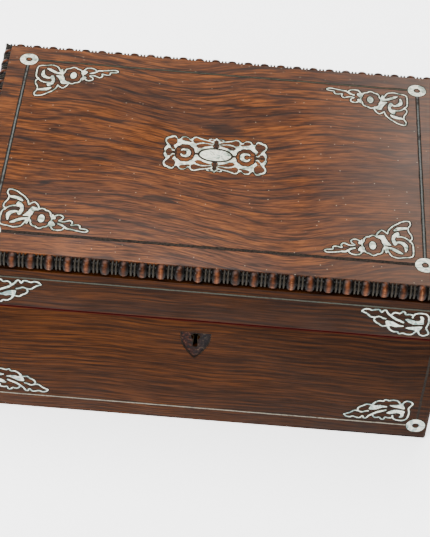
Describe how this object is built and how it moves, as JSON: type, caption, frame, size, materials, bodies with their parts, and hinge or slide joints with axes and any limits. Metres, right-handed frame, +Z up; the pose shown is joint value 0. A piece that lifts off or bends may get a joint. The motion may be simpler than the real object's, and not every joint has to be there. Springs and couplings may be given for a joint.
{
  "type": "wind up music box",
  "caption": "Inlaid rosewood table box with a hinged locking lid, lined trays and a key-wound pinned-cylinder musical movement.",
  "frame": {"origin": "middle of the flat underside of the case", "axes": "+X along the box to its right, +Y to the hinged back, +Z up; the keyhole faces -Y"},
  "size_m": [0.3, 0.2152, 0.134],
  "materials": {
    "rosewood": "french polished rosewood veneer, worn and dulled",
    "rosewood_top": "french polished figured rosewood veneer",
    "moulding_wood": "dark polished rosewood moulding",
    "inner_wood": "plain oiled hardwood",
    "velvet": "crimson silk velvet",
    "pearl": "polished mother of pearl",
    "pewter": "dull tarnished pewter",
    "escutcheon_wood": "dark worn recess of the lost inlay",
    "brass": "lacquered brass",
    "brass_bright": "polished brass",
    "steel": "polished steel",
    "blued_steel": "heat blued steel"
  },
  "bodies": {
    "case": {"case_front": "rosewood", "case_back": "rosewood", "case_left": "rosewood", "case_right": "rosewood", "case_floor": "inner_wood", "long_partition": "inner_wood", "key_partition": "inner_wood", "tray_divider": "inner_wood", "tray_lining": "velvet", "case_stringing": "pewter", "case_inlays": "pearl", "escutcheon": "escutcheon_wood", "lock_case": "brass", "hinge_case_leaves": "brass", "hinge_pins": "steel", "case_screws": "brass", "bedplate": "brass", "movement_screws": "blued_steel", "barrel_brackets": "brass", "cylinder_brackets": "brass", "comb": "steel", "comb_base": "brass", "governor_frame": "brass", "click_spring": "blued_steel", "lever_post": "steel"},
    "lid": {"lid_front": "rosewood", "lid_back": "rosewood", "lid_left": "rosewood", "lid_right": "rosewood", "lid_top": "rosewood_top", "lid_lining": "velvet", "moulding_front": "moulding_wood", "moulding_back": "moulding_wood", "moulding_left": "moulding_wood", "moulding_right": "moulding_wood", "lid_rings": "pearl", "lid_stringing": "pewter", "lid_corner_inlays": "pearl", "lid_plaque": "pearl", "lid_front_inlays": "pearl", "link_plate": "brass", "hinge_lid_leaves": "brass", "lid_screws": "brass"},
    "bolt": {"lock_bolt": "steel"},
    "barrel": {"spring_barrel": "brass_bright", "barrel_cover": "brass_bright", "mainspring": "blued_steel"},
    "winding": {"winding_arbor": "steel", "ratchet_wheel": "steel", "winding_key": "brass"},
    "click": {"click": "steel"},
    "cylinder": {"cylinder": "brass_bright", "cylinder_pins": "steel", "cylinder_arbor": "steel", "cylinder_wheel": "brass_bright"},
    "governor": {"governor_wheel": "brass_bright"},
    "fan": {"endless_screw": "steel", "fan": "brass_bright"},
    "lever": {"start_lever": "brass_bright"}
  },
  "joints": [
    {"name": "lid_hinge", "type": "hinge", "parent": "case", "child": "lid", "pos_m": [0, 0.1078, 0.093], "axis": [-1, 0, 0], "range_deg": [0, 95]},
    {"name": "lock_slide", "type": "slide", "parent": "case", "child": "bolt", "axis": [1, 0, 0], "range_m": [0, 0.0045]},
    {"name": "cylinder_spin", "type": "hinge", "parent": "case", "child": "cylinder", "pos_m": [0, 0.056, 0.05], "axis": [1, 0, 0], "continuous": true},
    {"name": "barrel_spin", "type": "hinge", "parent": "case", "child": "barrel", "pos_m": [0, 0.02661, 0.044], "axis": [1, 0, 0], "continuous": true},
    {"name": "governor_spin", "type": "hinge", "parent": "case", "child": "governor", "pos_m": [0, 0.036, 0.03585], "axis": [1, 0, 0], "continuous": true},
    {"name": "fan_spin", "type": "hinge", "parent": "case", "child": "fan", "pos_m": [0.1085, 0.0269, 0], "axis": [0, 0, 1], "continuous": true},
    {"name": "winding_turn", "type": "hinge", "parent": "case", "child": "winding", "pos_m": [0, 0.02661, 0.044], "axis": [1, 0, 0], "continuous": true},
    {"name": "click_lift", "type": "hinge", "parent": "case", "child": "click", "pos_m": [-0.09475, 0.04, 0.055], "axis": [-1, 0, 0], "range_deg": [0, 6]},
    {"name": "lever_swing", "type": "hinge", "parent": "case", "child": "lever", "pos_m": [0.126, 0.06, 0.055], "axis": [0, 0, -1], "range_deg": [0, 12]}
  ],
  "couplings": [
    {"joint": "barrel_spin", "follows": "cylinder_spin", "ratio": -0.25},
    {"joint": "governor_spin", "follows": "cylinder_spin", "ratio": -6},
    {"joint": "fan_spin", "follows": "cylinder_spin", "ratio": -72}
  ]
}
